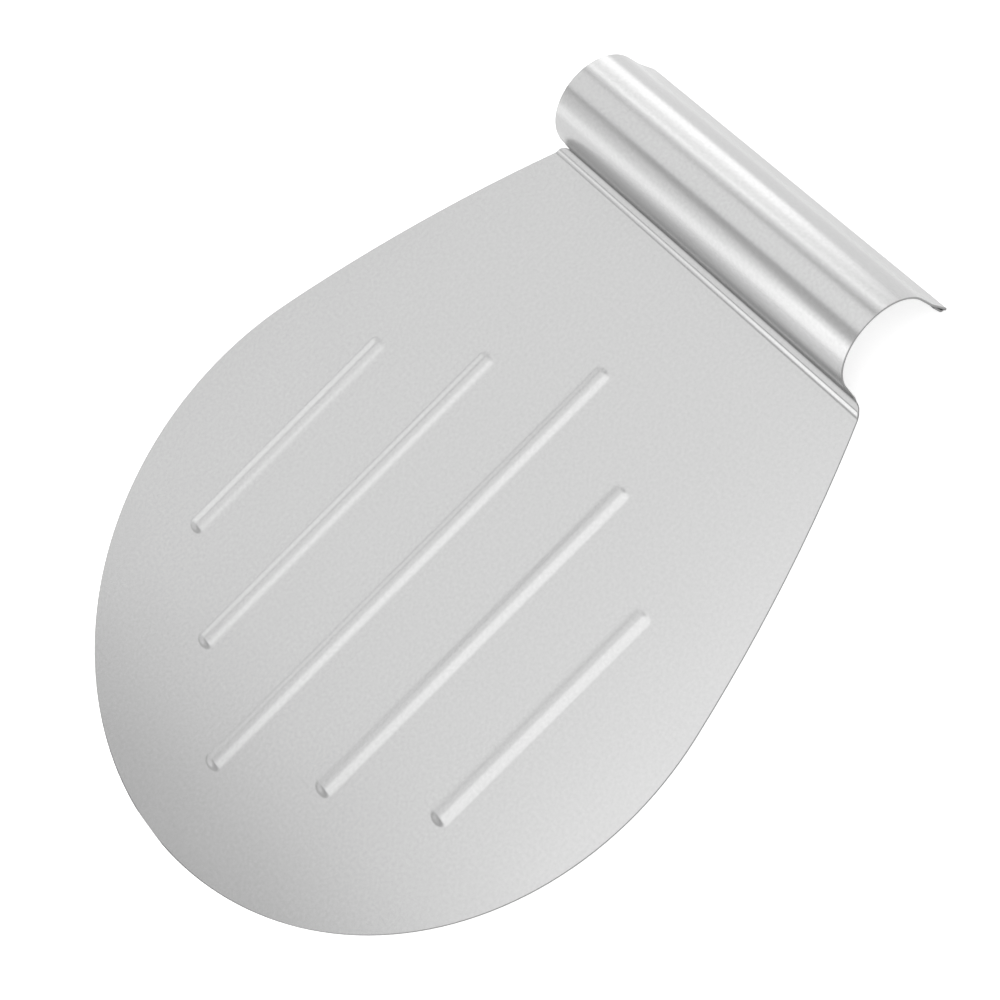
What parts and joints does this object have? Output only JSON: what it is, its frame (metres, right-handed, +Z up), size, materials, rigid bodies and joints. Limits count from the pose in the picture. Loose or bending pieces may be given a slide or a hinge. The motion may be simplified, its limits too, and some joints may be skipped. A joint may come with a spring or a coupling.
{
  "type": "cake lifter",
  "caption": "Round, flat sheet blade with pressed stiffening beads and a low arched grip rolled from the same sheet, for lifting and moving whole cakes.",
  "frame": {"origin": "on the table under the middle of the whole lifter: midway between the blade's far tip and the lip, and midway between the left and right rims", "axes": "+Z up from the table, +Y from the blade's far tip to the arched grip, +X to the right as seen by the hand behind the grip"},
  "size_m": [0.25, 0.3091, 0.0299],
  "materials": {
    "satin_stainless_steel": "fine satin, cut edges deburred"
  },
  "bodies": {
    "root": {"lifter_sheet": "satin_stainless_steel"}
  },
  "joints": []
}
